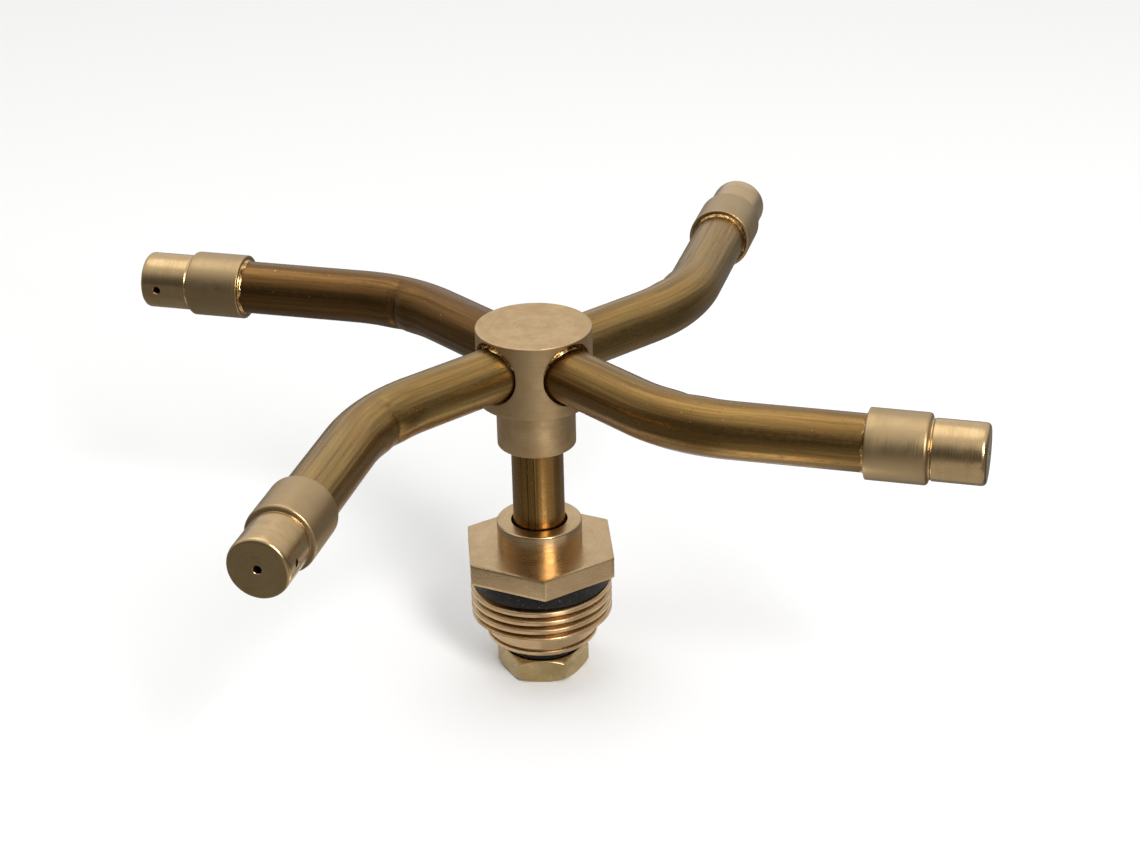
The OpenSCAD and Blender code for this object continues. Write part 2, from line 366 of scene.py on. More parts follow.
def drawn_brass(name, light, dark, rough, deep=0.55, dark_lines=()):
    """Drawn tube: olive-brown brass with streaks and dark lines along it at given angles, stains and a few
    bright nicks.

    A dark line is its angle in degrees and its half width in radians.
    """
    k = Look(name, light, 1.0, rough)
    streak = k.noise(k.scaled(1.3, 1.3, 0.035), 1.0, 4.0, 0.6)
    fine = k.noise(k.scaled(4.5, 4.5, 0.09), 1.0, 3.0, 0.6)
    cloud = k.noise(k.scaled(0.22, 0.22, 0.13), 1.0, 4.0, 0.6)
    spots = k.noise(k.scaled(1.6, 1.6, 1.1), 1.0, 3.0, 0.7)
    nicks = k.span(k.noise(k.scaled(2.9, 2.9, 2.2), 1.0, 1.0), 0.755, 0.82)
    colour = k.mix(k.span(streak, 0.38, 0.64, 0.0, deep), light, dark)
    colour = k.mix(k.span(fine, 0.42, 0.72, 0.0, 0.3), colour, dark)
    reddened = (light[0] * 0.95, light[1] * 0.72, light[2] * 0.6)
    colour = k.mix(k.span(cloud, 0.5, 0.75, 0.0, 0.45), colour, reddened)
    colour = k.mix(k.span(spots, 0.6, 0.75, 0.0, 0.35), colour, tuple(0.5 * c for c in dark))
    turn = k.math("ARCTAN2", k.y, k.x)
    for degrees, width in dark_lines:
        near = k.math("ABSOLUTE", k.math("SUBTRACT", turn, math.radians(degrees)))
        line = k.math("SUBTRACT", 1.0, k.math("DIVIDE", near, width), True)
        colour = k.mix(k.math("MULTIPLY", line, 0.9), colour, tuple(0.3 * c for c in dark))
    colour = k.mix(k.math("MULTIPLY", nicks, 0.6), colour, (0.75, 0.56, 0.3))
    roughness = k.math("ADD", k.span(streak, 0.3, 0.7, rough - 0.05, rough + 0.06),
                       k.span(spots, 0.4, 0.7, -0.03, 0.07))
    height = k.math("ADD", k.math("MULTIPLY", fine, 0.8),
                    k.math("ADD", k.math("MULTIPLY", streak, 0.6), k.math("MULTIPLY", nicks, 0.7)))
    k.bump(height, 0.4, 0.00006)
    return k.out(colour, roughness)


def solder_look(name, light, dark, rough=0.16):
    """Flowed solder: glossy and amber, with dull spots of flux."""
    k = Look(name, light, 1.0, rough)
    flow = k.noise(k.scaled(0.9, 0.9, 0.9), 1.0, 4.0, 0.6)
    flux = k.noise(k.scaled(2.2, 2.2, 2.2), 1.0, 3.0, 0.6)
    colour = k.mix(k.span(flow, 0.35, 0.65), light, dark)
    colour = k.mix(k.span(flux, 0.52, 0.7, 0.0, 0.7), colour, tuple(0.3 * c for c in dark))
    k.bump(k.math("ADD", flow, k.math("MULTIPLY", flux, 0.5)), 0.5, 0.00012)
    return k.out(colour, k.span(flux, 0.35, 0.7, rough, rough + 0.22))


def rubber_look(name):
    """Black rubber with dust and a few light flecks."""
    k = Look(name, (0.008, 0.007, 0.006), 0.0, 0.42)
    k.bsdf.inputs["Specular IOR Level"].default_value = 0.17
    grain = k.noise(k.scaled(3.0, 3.0, 3.0), 1.0, 4.0, 0.65)
    dust = k.noise(k.scaled(1.1, 1.1, 1.6), 1.0, 4.0, 0.7)
    flecks = k.span(k.noise(k.scaled(3.6, 3.6, 3.6), 1.0, 1.0), 0.72, 0.78)
    colour = k.mix(k.span(dust, 0.5, 0.75), (0.007, 0.006, 0.005), (0.03, 0.026, 0.02))
    colour = k.mix(k.math("MULTIPLY", flecks, 0.8), colour, (0.35, 0.3, 0.22))
    k.bump(k.math("ADD", grain, k.math("MULTIPLY", dust, 0.8)), 0.6, 0.00015)
    return k.out(colour, k.span(dust, 0.35, 0.7, 0.3, 0.6))


HUB_LOOK = turned_brass("hub_brass", (0.53, 0.38, 0.21), (0.37, 0.235, 0.105), 0.48, 3.0, 0.6)
CAP_LOOK = turned_brass("cap_brass", (0.55, 0.39, 0.205), (0.37, 0.245, 0.11), 0.23, 3.6, 0.45, 5.4)
FIT_LOOK = turned_brass("fitting_brass", (0.53, 0.38, 0.215), (0.42, 0.27, 0.13), 0.27, 3.2, 0.5)
# the four tubes' tones, anticlockwise from the one at the rear right. The last one, at the front right, is
# darker than the first and third as painted shade: it stands for the shaded floor that this tube reflects
TONES = ((0.38, 0.24, 0.085), (0.2, 0.105, 0.034), (0.37, 0.235, 0.08), (0.28, 0.165, 0.052))
TUBE_LOOKS = [drawn_brass(f"tube_brass_{i + 1}", tone, tuple(0.38 * c for c in tone), 0.31, 0.7)
              for i, tone in enumerate(TONES)]
STEM_LOOK = drawn_brass("stem_brass", (0.31, 0.175, 0.052), (0.15, 0.08, 0.026), 0.27, 0.6,
                        ((-116.7, 0.045), (-101.4, 0.035), (-133, 0.02)))
NUT_LOOK = turned_brass("nut_brass", (0.47, 0.36, 0.18), (0.3, 0.2, 0.08), 0.26, 2.4, 0.5)
SOLDER_LOOK = solder_look("solder", (0.78, 0.5, 0.2), (0.22, 0.1, 0.025), 0.12)
RUBBER_LOOK = rubber_look("rubber")


# ---------------------------------------------------------------- fitting: collar, hex, thread, pilot
def hexagon(t, af, corner):
    """Radius at angle t of a hexagon that is af across its flats and has a corner at the angle corner."""
    return af / 2 / np.cos((t - corner) % (TAU / 6) - TAU / 12)


def make_fitting():
    """Pilot, helical thread, hex and collar as one ring stack, which comes back down the bore."""
    n = 240
    t = angles(n)
    pitch, lead_in, phase, step = 1.814, 1.95, 1.05, 0.046
    pilot_r, pilot_h, chamfer, hex_h = 10.4, 3.6, 0.42, 4.1
    boss_r, mouth, mouth_deep = 7.9, STEM_R + 0.36, 2.5
    foot, bore = boss_r + 0.4, STEM_R + RUN_GAP
    z0, z1 = fit_lo[2], fit_hi[2]
    groove_r, groove_lo, groove_hi = pilot_r - 0.55, z0 + 1.05, z0 + 1.64
    z_thread = z0 + pilot_h
    z_relief = ring_lo[2] - 0.14
    z_hex, z_boss = ring_hi[2], ring_hi[2] + hex_h
    rings = []
    # the pilot, with a groove round it
    low = soften([(bore + 0.3, z0, 0), (pilot_r - chamfer, z0, 0.12), (pilot_r, z0 + chamfer, 0.12),
                  (pilot_r, groove_lo, 0.08), (groove_r, groove_lo + 0.1, 0.04),
                  (groove_r, groove_hi - 0.09, 0.04), (pilot_r, groove_hi, 0.08),
                  (pilot_r + 0.02, z_thread - 0.05, 0)], 3)
    rings += [ring(r, z, n) for r, z in low]
    # the helix, right-handed, cut by the lead-in cone below and by the relief above
    wave = waves(t, 5, 2, 9, 0.05)
    for z in np.arange(z_thread, z_relief - 0.01, step):
        u = (z - ring_lo[2] + phase) / pitch - (t + TAU / 4) / TAU
        off = np.abs((u + 0.5) % 1 - 0.5)
        h = np.clip((0.45 - off) / 0.3, 0, 1)
        h = np.sin(h * TAU / 4) ** 0.9
        r = ROOT_R + THREAD_DEPTH * h
        r = np.minimum(r, pilot_r + 0.05 + (z - z_thread) * lead_in + wave)
        rings.append(ring(r, z, n))
    rings.append(ring(RELIEF_R, z_relief, n))
    rings.append(ring(RELIEF_R, z_hex, n))
    # the hex, with slightly blunt corners and an unevenly worn upper edge
    six = hexagon(t, HEX_AF, -TAU / 4)
    blunt = np.minimum(six, HEX_AF / 2 / math.cos(TAU / 12) - 0.06)
    wear = 0.11 + waves(t, 6, 3, 30, 0.05)
    rings.append(ring(RELIEF_R + 0.4, z_hex, n))
    rings.append(ring(blunt - 0.16, z_hex, n))
    rings.append(ring(blunt - 0.05, z_hex + 0.05, n))
    rings.append(ring(blunt, z_hex + 0.17, n))
    for z in np.linspace(z_hex + 0.6, z_boss - 0.6, 5):
        rings.append(ring(blunt, z, n))
    rings.append(ring(blunt, z_boss - wear * 1.2, n))
    rings.append(ring(blunt - 0.3 * wear, z_boss - 0.3 * wear, n))
    rings.append(ring(blunt - 1.2 * wear, z_boss, n))
    for f in (0.85, 0.6, 0.3):
        rings.append(ring(foot + (blunt - foot) * f, z_boss, n))
    # the collar, its wider mouth and the bore
    z_mouth = z1 - mouth_deep
    upper = soften([(foot, z_boss, 0), (boss_r, z_boss, 0), (boss_r, z1, 0.4), (mouth + 0.02, z1, 0.2),
                    (mouth, z_mouth, 0.08), (bore, z_mouth, 0.12), (bore, z0, 0.0)], 5)
    rings += [ring(r, z, n) for r, z in divide(upper, 1.4)[:-1]]
    rings.append(ring(bore, z0 + 0.3, n))
    verts, faces = skin(rings, True)
    obj = build("fitting", verts, faces, verts, 30)
    finish_piece(obj, "fitting", "fitting_body", FIT_LOOK)


def make_seals():
    """The ring under the hex and the washer on the nut: rubber with soft edges, clear above and below."""
    n = 160
    t = angles(n)
    for name, body, node, lo, hi, outer, inner in (
        ("seal_ring", "fitting", "sealing_ring", ring_lo[2], ring_hi[2], RING_R, RELIEF_R + SEAT_GAP),
        ("stop_washer", "washer", "thrust_washer", washer_lo[2], washer_hi[2], WASHER_R, STEM_R + RUN_GAP),
    ):
        lo, hi = lo + HAIR, hi - HAIR
        section = soften([(inner, lo, 0.12), (outer, lo, 0.4), (outer, hi, 0.4), (inner, hi, 0.12)], 6, True)
        wobble = waves(t, 6, 2, 14, 0.035)
        rings = []
        for r, z in section:
            share = (r - inner) / (outer - inner)
            rings.append(ring(r + (wobble - 0.035) * share, z, n))
        verts, faces = skin(rings, True)
        obj = build(name, verts, faces, verts, 40)
        finish_piece(obj, body, node, RUBBER_LOOK)


# ---------------------------------------------------------------- nut
def make_nut():
    """Hex nut with its corners chamfered at top and bottom, and the water inlet through it."""
    n = 192
    t = angles(n)
    z0, z1 = nut_lo[2], nut_hi[2]
    af, chamfer = 15.0, 0.9
    # one corner lies 18 degrees past the first arm
    corner = FIRST + math.radians(18)
    corner_r = af / 2 / math.cos(TAU / 12)
    six = np.minimum(hexagon(t, af, 0.0), corner_r - 0.05)
    flat = af / 2 - 0.1
    drop = (six - flat) * chamfer / (corner_r + 0.2 - flat)
    inlet, seat, z_seat = STEM_BORE_R, STEM_R + SEAT_GAP, z0 + 0.6
    rows = [(inlet + 0.25, z0), (flat - 0.5, z0), (flat, z0 + 0.005), (six - 0.07, z0 + drop - 0.03),
            (six, z0 + drop + 0.06)]
    for f in (0.25, 0.5, 0.75):
        rows.append((six, z0 + drop + (z1 - z0 - 2 * drop) * f))
    rows += [(six, z1 - drop - 0.06), (six - 0.07, z1 - drop + 0.03), (flat, z1 - 0.005), (flat - 0.5, z1),
             (seat + 0.25, z1), (seat, z1 - 0.2), (seat, z_seat), (inlet + 0.05, z_seat),
             (inlet, z_seat - 0.05), (inlet, z0 + 0.2)]
    rings = [ring(r, z, n) for r, z in rows]
    verts, faces = skin(rings, True)
    own = verts.copy()
    c, s = math.cos(corner), math.sin(corner)
    verts = verts @ np.array([[c, s, 0], [-s, c, 0], [0, 0, 1]])
    obj = build("nut", verts, faces, own, 24)
    finish_piece(obj, "rotor", "retaining_nut", NUT_LOOK)


# ---------------------------------------------------------------- drawn tubes
def die_lines(psi, lines, depth, width):
    """Shallow lines that the drawing die leaves along a tube; each has an angle and a strength."""
    out = np.zeros_like(psi)
    for angle, strength in lines:
        d = (psi - angle + math.pi) % TAU - math.pi
        out -= depth * strength * np.exp(-((d / width) ** 2))
    return out


def make_stem():
    """Hollow stem with shallow lines along it."""
    n = 200
    t = angles(n)
    z0, z1 = stem_lo[2], stem_hi[2]
    front = -TAU / 4
    lines = [(front - 0.12, 1.5), (front - 0.38, 1.2), (front - 0.17, 0.7), (front + 0.5, 0.7),
             (front + 1.1, 0.9), (front - 0.9, 0.8), (1.0, 1.0), (2.2, 0.8)]
    shape = die_lines(t, lines, 0.035, 0.022) + waves(t, 7, 5, 24, 0.012)
    skin_r, chamfer = STEM_R - FILM, 0.16
    lines_in = np.minimum(shape, 0.008)
    zs = np.concatenate([[z0 + 0.12], np.linspace(z0 + 0.8, z1 - 0.8, 50), [z1 - 0.12]])
    rings = [ring(STEM_R - chamfer, z0, n)]
    for z in zs:
        ease = 0.75 + 0.25 * math.sin(z * 0.31 + 1)
        rings.append(ring(skin_r + lines_in * ease, z, n))
    rings.append(ring(STEM_R - chamfer, z1, n))
    inner = STEM_BORE_R
    rings += [ring(inner + 0.1, z1, n), ring(inner, z1 - 0.1, n), ring(inner, (z0 + z1) / 2, n),
              ring(inner, z0 + 0.1, n), ring(inner + 0.1, z0, n)]
    verts, faces = skin(rings, True)
    obj = build("stem", verts, faces, verts, 40)
    finish_piece(obj, "rotor", "stem_tube", STEM_LOOK)


def path(s):
    """Centre (x, y) and direction of an arm's centreline at length s, before it is turned into place."""
    if s <= S_BEND:
        return s, 0.0, 0.0
    if s <= S_STRAIGHT:
        a = (s - S_BEND) / BEND_R
        return S_BEND + BEND_R * math.sin(a), BEND_R * (1 - math.cos(a)), a
    d = s - S_STRAIGHT + REACH
    return CORNER + d * math.cos(BEND), d * math.sin(BEND), BEND


def along(s, r, psi, k):
    """Ring of points round arm k's centreline; psi is measured from the inside of the bend towards +Z."""
    x, y, a = path(s)
    side = r * np.cos(psi)
    return at_arm(k, x - math.sin(a) * side, y + math.cos(a) * side, Z_ARM + r * np.sin(psi))


# how deep the fold in each tube's bend is, in the same order as TONES
FOLDS = (0.4, 0.6, 0.42, 0.3)


def make_arm_tube(k):
    """Bent tube with die lines, a fold on the inner side of the bend and a slightly flattened outer side."""
    n = 144
    psi = angles(n)
    middle = (S_BEND + S_STRAIGHT) / 2 + rng.uniform(-0.6, 0.6)
    lines = [(rng.uniform(0, TAU), rng.uniform(0.5, 1.3)) for _ in range(14)]
    shape = die_lines(psi, lines, 0.026, 0.03) + waves(psi, 7, 3, 20, 0.016)
    inside = np.clip(np.cos(psi - 0.1), 0, 1) ** 1.3
    lean = 0.35 * np.sin(psi)
    rings, own = [], []
    s_all = np.concatenate([[S_SEAT + 0.1], np.linspace(S_SEAT + 0.8, S_BEND - 3.2, 16),
                            np.linspace(S_BEND - 2.4, S_STRAIGHT + 2.4, 92),
                            np.linspace(S_STRAIGHT + 3.2, S_TUBE_END - 0.8, 24), [S_TUBE_END - 0.1]])

    def add(s, r):
        r = np.broadcast_to(r, n)
        rings.append(along(s, r, psi, k))
        own.append(np.stack([r * np.cos(psi), r * np.sin(psi), np.full(n, s)], 1))

    add(S_SEAT, ARM_R - 0.15)
    for s in s_all:
        d = s - middle - lean
        r = ARM_R - 0.01 + shape * (0.8 + 0.2 * math.sin(s * 0.23 + k))
        # the fold: a wide dip with a narrow crease in it, and a low ridge on either side
        r = r - FOLDS[k] * (0.55 * np.exp(-((d / 1.7) ** 2)) + 0.45 * np.exp(-((d / 0.7) ** 2))) * inside
        r = r + 0.1 * np.exp(-(((np.abs(d) - 3.2) / 1.8) ** 2)) * inside
        # the bent part bulges at top and bottom and is flatter on its outer side
        bend = math.exp(-(((s - middle) / 7.0) ** 2))
        r = r + 0.1 * bend * np.sin(psi) ** 2 - 0.16 * bend * np.clip(-np.cos(psi), 0, 1) ** 2
        # inside hub and cap it stays within its seat
        socketed = s < HUB_R or s > S_CAP - 0.6
        add(s, np.minimum(r, ARM_R - 0.002) if socketed else r)
    add(S_TUBE_END, ARM_R - 0.15)
    add(S_TUBE_END, BORE_R + 0.1)
    for s in np.concatenate([[S_TUBE_END - 0.1], np.linspace(S_STRAIGHT, S_BEND, 14), [S_SEAT + 0.1]]):
        add(s, BORE_R)
    add(S_SEAT, BORE_R + 0.1)
    verts, faces = skin(rings, True)
    obj = build(f"arm_{k + 1}", verts, faces, np.concatenate(own) + np.array([0, 0, TUBE_SHIFT * k]), 40)
    weld(obj)
    finish_piece(obj, "rotor", f"arm_tube_{k + 1}", TUBE_LOOKS[k])


# ---------------------------------------------------------------- nozzle caps
def cap_frame(k):
    """Start point, outward axis, sideways axis and up axis of cap k."""
    x, y, a = path(S_CAP)
    heading = FIRST + k * TAU / 4 + a
    out = np.array([math.cos(heading), math.sin(heading), 0.0])
    side, up = np.array([-out[1], out[0], 0.0]), np.array([0.0, 0.0, 1.0])
    return at_arm(k, x, y, Z_ARM), out, side, up


def to_cap(local, k):
    """Points in cap k's own coordinates, placed in the object's."""
    at, out, side, up = cap_frame(k)
    return at + local[:, 2:3] * out + local[:, 0:1] * side + local[:, 1:2] * up


def from_cap(co, k):
    """Points of the object in cap k's own coordinates, with that cap's shift."""
    at, out, side, up = cap_frame(k)
    d = co - at
    return np.stack([d @ side, d @ up, d @ out + CAP_SHIFT * k], 1)


def make_cap(k):
    """Stepped cap turned about its own axis, then drilled from the side."""
    n = 144
    sleeve, tip, neck, hole = 6.1, 5.3, 5.13, 0.7
    end_wall, inner, side_hole_back = 1.4, BORE_R - 0.6, 3.4
    seat, groove, groove_deep = ARM_R + SEAT_GAP, SOCK_R, 1.0
    outline = soften([
        (groove + 0.04, 0, 0.05), (sleeve, 0, 0.28), (sleeve, SLEEVE_LEN - 0.25, 0.55),
        (neck + 0.01, SLEEVE_LEN + 0.02, 0.06), (neck, SLEEVE_LEN + 0.26, 0.08),
        (tip, SLEEVE_LEN + 0.5, 0.15), (tip, CAP_LEN, 0.95), (hole + 0.08, CAP_LEN, 0.05),
        (hole, CAP_LEN - 0.1, 0.04), (hole, CAP_LEN - end_wall, 0), (inner, CAP_LEN - end_wall, 0.2),
        (inner, SLEEVE_LEN - 0.6, 0), (BORE_R, SLEEVE_LEN - 0.6, 0), (BORE_R, SEAT_END, 0),
        (seat, SEAT_END, 0), (seat, groove_deep, 0), (groove, groove_deep, 0),
    ], 5, True)
    profile = divide(outline + outline[:1], 1.2)
    verts, faces = skin([ring(r, z, n) for r, z in profile], True)
    faces = [q[::-1] for q in faces]
    # in its own coordinates the cap's axis is +Z, outwards, with +X to its left and +Y up
    obj = build(f"cap_{k + 1}", to_cap(verts, k), faces, verts, 30)
    weld(obj)
    # side hole with a broken edge, to the left of the cap's axis
    z = CAP_LEN - side_hole_back
    a = angles(40)
    cut = []
    for x, r in ((3.0, hole), (tip - 0.16, hole), (tip - 0.03, hole + 0.1), (tip + 0.4, hole + 0.5)):
        local = np.stack([np.full(len(a), x), r * np.cos(a), z + r * np.sin(a)], 1)
        cut.append(to_cap(local, k))
    carve(obj, [cutter(f"drill_{k}", cut)], lambda co: from_cap(co, k), 30)
    finish_piece(obj, "rotor", f"nozzle_cap_{k + 1}", CAP_LOOK)


# ---------------------------------------------------------------- solder
def make_hub_solder(k):
    """Solder in the socket's mouth: deep in the groove at the sides and below, lumpy and high on top."""
    n = 160
    psi = angles(n)
    high = np.clip(np.sin(psi), 0, 1)
    upper = (psi > 0) & (psi < math.pi)
    lo, hi = ARM_R + FILM, SOCK_R - FILM - 0.002
    mouth = np.sqrt(HUB_R ** 2 - (SOCK_R * np.cos(psi)) ** 2)
    recess = 0.8 + 0.45 * high ** 2 + 1.1 * np.clip(-np.sin(psi), 0, 1) + waves(psi, 6, 2, 9, 0.25)
    back = SOCK_AT + HAIR
    face = np.clip(mouth - recess, back + 0.105, HUB_R - 0.4)
    climb = 0.08 + (0.75 + waves(psi, 6, 2, 9, 0.5)) * high ** 1.2
    rings, own = [], []

    def add(u, x):
        r = lo + (hi - lo) * u
        y, z = r * np.cos(psi), Z_ARM + r * np.sin(psi) + (MOUTH_UP - FILM) * upper * u
        x = np.broadcast_to(x, n)
        rings.append(at_arm(k, x, y, z))
        own.append(np.stack([y, z - Z_ARM, x + HUB_JOINT_SHIFT * k], 1))

    add(0.0, back)
    add(1.0, back)
    add(1.0, face - 0.05)
    for u in np.linspace(0.9, 0.0, 9):
        lump = waves(psi, 5, 3, 16, 0.3) * high * math.sin(math.pi * u)
        add(u, np.clip(face + climb * (1 - u) ** 1.6 + lump, back + 0.05, HUB_R - 0.05))
    verts, faces = skin(rings, True)
    obj = build(f"hub_joint_{k + 1}", verts, faces, np.concatenate(own), 60)
    weld(obj)
    finish_piece(obj, "rotor", f"hub_solder_{k + 1}", SOLDER_LOOK)


def make_cap_solder(k):
    """Uneven bead of solder where the tube enters the cap."""
    n = 120
    psi = angles(n)
    lumps = waves(psi, 7, 2, 13, 0.5)
    reach = np.clip(0.42 + lumps, 0.12, 1.1)
    lo, hi = ARM_R + FILM, SOCK_R - FILM
    rows = [(lo, -reach), (lo + 0.06, -reach * 0.8), (lo + 0.16, -reach * 0.4),
            (hi - 0.06, -0.02 - reach * 0.12), (hi, 0.1), (hi, 0.98), (lo, 0.98)]
    rings = []
    for r, z in rows:
        r, z = np.broadcast_to(r, n), np.broadcast_to(z, n)
        rings.append(np.stack([r * np.cos(psi), r * np.sin(psi), z], 1))
    verts, faces = skin(rings, True)
    faces = [q[::-1] for q in faces]
    own = verts + np.array([0, 0, CAP_JOINT_SHIFT * k])
    obj = build(f"cap_joint_{k + 1}", to_cap(verts, k), faces, own, 60)
    weld(obj)
    finish_piece(obj, "rotor", f"cap_solder_{k + 1}", SOLDER_LOOK)


def make_stem_solder():
    """Ring of solder in the groove under the hub's collar."""
    n = 120
    t = angles(n)
    lumps = waves(t, 6, 2, 11, 0.12)
    lo, hi = STEM_R + FILM, joint_hi[0] - 0.002
    z0, z1 = joint_lo[2], joint_hi[2] - 0.01
    rows = [(lo, z0 + 0.02 + lumps), (lo + 0.1, z0 + 0.12 + lumps), (hi - 0.1, z0 + 0.14 + lumps),
            (hi, z0 + 0.05 + lumps * 0.5), (hi, z1), (lo, z1)]
    rings = [ring(r, z, n) for r, z in rows]
    verts, faces = skin(rings, True)
    obj = build("stem_joint", verts, faces, verts, 60)
    weld(obj)
    finish_piece(obj, "rotor", "stem_solder", SOLDER_LOOK)


# ---------------------------------------------------------------- hub
def make_hub():
    """Hub with four socket mouths in its wall, then the water passages cut through its core."""
    top_n, side_n = 32, 26
    n = 4 * top_n
    start = FIRST - TAU / 8
    # radii of the rounded edges at the hub's top and at the socket mouths, and of the step at a socket's end
    rim, mouth_rim, step_r = 0.18, 0.12, 4.6
    z_low, z_high = Z_HUB + 0.22, Z_TOP - rim
    verts, faces = [], []

    def sheet(rows, loop, close=False):
        """Quads between rows of points; loop joins each row's end to its start."""
        base = len(verts)
        m, w = len(rows), len(rows[0])
        for row in rows:
            verts.extend(map(tuple, row))
        for i in range(m - 1):
            for j in range(w if loop else w - 1):
                q = (j + 1) % w
                a, b = base + i * w, base + (i + 1) * w
                faces.append((a + j, a + q, b + q, b + j))
        if close:
            a = base + (m - 1) * w
            faces.append(tuple(a + j for j in range(w)))

    # outer wall: four quarters, each with one arm socket
    edge = [(TAU / 8, z) for z in np.linspace(z_low, z_high, side_n + 1)[:-1]]
    edge += [(a, z_high) for a in np.linspace(TAU / 8, -TAU / 8, top_n + 1)[:-1]]
    edge += [(-TAU / 8, z) for z in np.linspace(z_high, z_low, side_n + 1)[:-1]]
    edge += [(a, z_low) for a in np.linspace(-TAU / 8, TAU / 8, top_n + 1)[:-1]]
    edge = np.array(edge)
    psi = np.arctan2(edge[:, 1] - Z_ARM - MOUTH_UP / 2, edge[:, 0] * HUB_R)
    level = Z_ARM + MOUTH_UP * (psi > 0)
    y, z = (SOCK_R + mouth_rim) * np.cos(psi), level + (SOCK_R + mouth_rim) * np.sin(psi)
    hole = np.stack([np.arcsin(y / HUB_R), z], 1)
    for k in range(4):
        rows = []
        for f in (1, 0.6, 0.3, 0.12, 0):
            p = hole + (edge - hole) * f
            rows.append(at_arm(k, HUB_R * np.cos(p[:, 0]), HUB_R * np.sin(p[:, 0]), p[:, 1]))
        for degrees in (30, 60, 90):
            a = math.radians(degrees)
            r = SOCK_R + mouth_rim * (1 - math.sin(a))
            y, z = r * np.cos(psi), level + r * np.sin(psi)
            x = np.sqrt(HUB_R ** 2 - y ** 2) - mouth_rim * (1 - math.cos(a))
            rows.append(at_arm(k, x, y, z))
        y, z = SOCK_R * np.cos(psi), level + SOCK_R * np.sin(psi)
        x = np.sqrt(HUB_R ** 2 - y ** 2) - mouth_rim
        for f in (0.5, 0):
            rows.append(at_arm(k, SOCK_AT + (x - SOCK_AT) * f, y, z))
        seat = ARM_R + SEAT_GAP
        for r, x in ((seat, SOCK_AT), (seat, S_SEAT), (step_r, S_SEAT)):
            rows.append(at_arm(k, x, r * np.cos(psi), Z_ARM + r * np.sin(psi)))
        sheet(rows, True, True)
    # top, underside, collar and stem socket
    upper = [(HUB_R - rim + rim * math.cos(a), z_high + rim * math.sin(a))
             for a in np.linspace(0, TAU / 4, 8)]
    upper += [(r, Z_TOP) for r in (9.0, 6.0, 3.0)]
    sheet([ring(r, z, n, start) for r, z in upper], True, True)
    stem_seat, stem_groove, z_groove = STEM_R + SEAT_GAP, STEM_R + GROOVE, Z_COLLAR + 0.8
    lower = soften([(stem_seat, stem_hi[2], 0), (stem_seat, z_groove, 0), (stem_groove, z_groove, 0),
                    (stem_groove, Z_COLLAR, 0.1), (COLLAR_R, Z_COLLAR, 0.28), (COLLAR_R, Z_HUB, 0.12),
                    (HUB_R, Z_HUB, 0.2), (HUB_R, z_low, 0)], 4)
    sheet([ring(r, z, n, start) for r, z in lower], True)
    faces.append(tuple(len(verts) - len(lower) * n + j for j in range(n - 1, -1, -1)))
    verts = np.array(verts)
    obj = build("hub_body", verts, faces, verts, 30)
    weld(obj, 2e-6)
    # water passages: two crossing bores and the riser from the stem
    a = angles(72)
    reach = S_SEAT + 0.4
    cutters = []
    for i, r in ((0, BORE_R), (1, BORE_R - 0.01)):
        rows = [at_arm(i, x, r * np.cos(a), Z_ARM + r * np.sin(a)) for x in (-reach, reach)]
        cutters.append(cutter(f"bore_{i}", rows))
    riser = [ring(STEM_BORE_R, z, len(a), 0.02) for z in (stem_hi[2] - 0.5, Z_ARM)]
    cutters.append(cutter("riser", riser))
    carve(obj, cutters, lambda co: co, 30)
    finish_piece(obj, "rotor", "hub", HUB_LOOK)


make_fitting()
make_seals()
make_nut()
make_stem()
make_stem_solder()
make_hub()
for arm in range(4):
    make_arm_tube(arm)
    make_cap(arm)
    make_hub_solder(arm)
    make_cap_solder(arm)


# ---------------------------------------------------------------- stage, light and camera
AIM = Vector((0, 0, 0.04))


def add_flat(name, points, faces, material):
    """A flat piece of the stage."""
    mesh = bpy.data.meshes.new(name)
    mesh.from_pydata(points, [], faces)
    mesh.materials.append(material)
    obj = bpy.data.objects.new(name, mesh)
    bpy.context.scene.collection.objects.link(obj)
    return obj


def make_floor(radius, colour, n=64):
    """Plain pale floor under the object."""
    material = bpy.data.materials.new("floor_paint")
    material.use_nodes = True
    paint = material.node_tree.nodes["Principled BSDF"]
    paint.inputs["Base Color"].default_value = (*colour, 1)
    paint.inputs["Roughness"].default_value = 0.9
    paint.inputs["Specular IOR Level"].default_value = 0.1
    points = [(radius * math.cos(t), radius * math.sin(t), 0.0) for t in angles(n)]
    add_flat("floor", points, [tuple(range(n))], material)


def card(name, level, start, stop, near, far, n=24, z=0.0006):
    """A flag or reflector on the floor that shows only in reflections.

    It reaches from one angle to the other, in degrees, and from one radius to the other, in metres.
    """
    material = bpy.data.materials.new(name)
    material.use_nodes = True
    tree = material.node_tree
    tree.nodes.remove(tree.nodes["Principled BSDF"])
    glow = tree.nodes.new("ShaderNodeEmission")
    glow.inputs["Color"].default_value = (level, level * 0.98, level * 0.95, 1)
    tree.links.new(glow.outputs[0], tree.nodes["Material Output"].inputs["Surface"])
    turns = np.radians(np.linspace(start, stop, n))
    points = [(r * math.cos(t), r * math.sin(t), z) for r in (near, far) for t in turns]
    obj = add_flat(name, points, [(i, n + i, n + i + 1, i + 1) for i in range(n - 1)], material)
    obj.visible_camera = obj.visible_diffuse = obj.visible_shadow = False
    obj.visible_transmission = obj.visible_volume_scatter = False


def softbox(name, place, size, size_y, power):
    """A soft light that points at the middle of the object, from a place in metres."""
    lamp = bpy.data.lights.new(name, "AREA")
    lamp.shape = "RECTANGLE"
    lamp.size, lamp.size_y = size, size_y
    lamp.energy = power
    obj = bpy.data.objects.new(name, lamp)
    bpy.context.scene.collection.objects.link(obj)
    obj.location = place
    obj.rotation_euler = (AIM - Vector(place)).to_track_quat("-Z", "Y").to_euler()


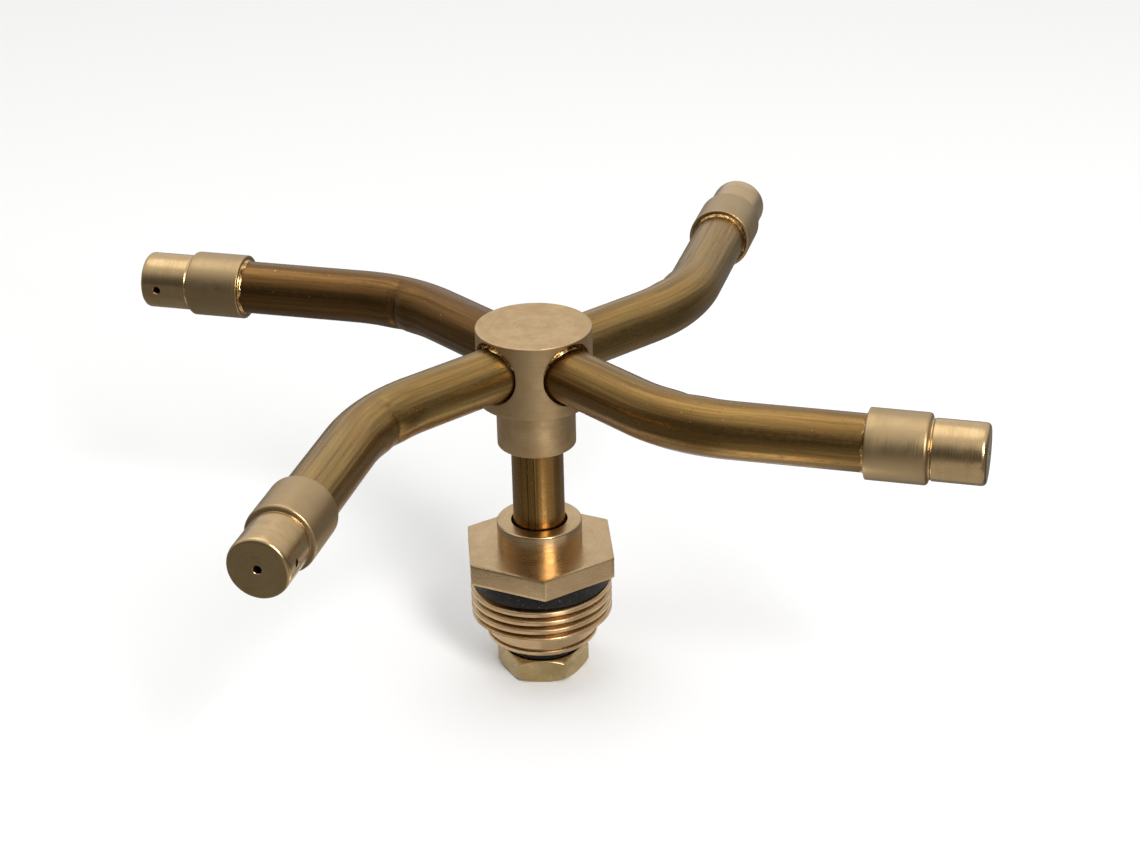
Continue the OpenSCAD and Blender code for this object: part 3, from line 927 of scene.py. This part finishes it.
def make_room():
    """The room: white to the camera; in reflections it brightens upwards and towards the back."""
    backwards, darkest_at = 0.55, -0.2
    world = bpy.data.worlds.new("studio")
    bpy.context.scene.world = world
    world.use_nodes = True
    tree = world.node_tree
    tree.nodes.clear()
    output = tree.nodes.new("ShaderNodeOutputWorld")
    choice = tree.nodes.new("ShaderNodeMixShader")
    light_path = tree.nodes.new("ShaderNodeLightPath")
    white = tree.nodes.new("ShaderNodeBackground")
    room = tree.nodes.new("ShaderNodeBackground")
    coordinates = tree.nodes.new("ShaderNodeTexCoord")
    split = tree.nodes.new("ShaderNodeSeparateXYZ")
    lean = tree.nodes.new("ShaderNodeMath")
    fit = tree.nodes.new("ShaderNodeMapRange")
    ramp = tree.nodes.new("ShaderNodeValToRGB")
    white.inputs["Color"].default_value = (1, 1, 1, 1)
    lean.operation = "MULTIPLY_ADD"
    lean.inputs[1].default_value = backwards
    fit.inputs["From Min"].default_value = darkest_at
    stops = ramp.color_ramp.elements
    stops[0].color = (0.10, 0.095, 0.09, 1)
    stops[1].color = (1, 1, 1, 1)
    for at, v in ((0.25, 0.14), (0.42, 0.35), (0.67, 0.8), (0.9, 0.98)):
        stops.new(at).color = (v, v, v, 1)
    for source, target in (
        (coordinates.outputs["Generated"], split.inputs[0]),
        (split.outputs["Y"], lean.inputs[0]),
        (split.outputs["Z"], lean.inputs[2]),
        (lean.outputs[0], fit.inputs["Value"]),
        (fit.outputs[0], ramp.inputs["Fac"]),
        (ramp.outputs["Color"], room.inputs["Color"]),
        (light_path.outputs["Is Camera Ray"], choice.inputs["Fac"]),
        (room.outputs[0], choice.inputs[1]),
        (white.outputs[0], choice.inputs[2]),
        (choice.outputs[0], output.inputs["Surface"]),
    ):
        tree.links.new(source, target)


make_floor(6.0, (0.86, 0.86, 0.855))
# these give the brass its dark and bright bands
card("flag_under", 0.26, 0, 360, 0.05, 4.0, 64, 0.0004)
card("flag_left", 0.2, -190, -98, 0.095, 3.0)
card("flag_right", 0.12, -24, 20, 0.11, 3.0)
card("card_middle", 0.62, -98, -80, 0.009, 0.6)
card("card_right", 0.6, -80, -24, 0.009, 0.16)
card("card_boss", 3.4, -79, -60, 0.04, 0.075, 8, 0.0009)
softbox("top_box", (-0.10, 0.20, 0.80), 0.7, 0.7, 1.5)
softbox("front_strip", (0.266, -0.658, 0.56), 0.2, 0.5, 6.0)
make_room()

# camera at the photograph's viewing angle: height over the hub's top and distance in metres, angles in
# radians, lens and sensor in mm. AROUND turns it about the object's axis
HEIGHT, DISTANCE = 0.17767, 0.40386
YAW, PITCH, ROLL = 0.0151, 0.4560, -0.0244
LENS, SENSOR = 78.0221, 36.0
AROUND = math.radians(-2.4)
forward = Vector((math.sin(YAW) * math.cos(PITCH), math.cos(YAW) * math.cos(PITCH), -math.sin(PITCH)))
level_right = forward.cross(Vector((0, 0, 1))).normalized()
level_up = level_right.cross(forward)
right = math.cos(ROLL) * level_right + math.sin(ROLL) * level_up
up = math.cos(ROLL) * level_up - math.sin(ROLL) * level_right
camera_data = bpy.data.cameras.new("camera")
camera_data.sensor_width = SENSOR
camera_data.sensor_fit = "HORIZONTAL"
camera_data.lens = LENS
camera_data.clip_start = 0.01
camera = bpy.data.objects.new("camera", camera_data)
bpy.context.scene.collection.objects.link(camera)
pose = Matrix((right, up, -forward)).transposed().to_4x4()
pose.translation = Vector((0, -DISTANCE, HEIGHT + Z_TOP * 0.001))
camera.matrix_world = Matrix.Rotation(AROUND, 4, "Z") @ pose
bpy.context.scene.camera = camera
bpy.context.scene.view_settings.view_transform = "Standard"
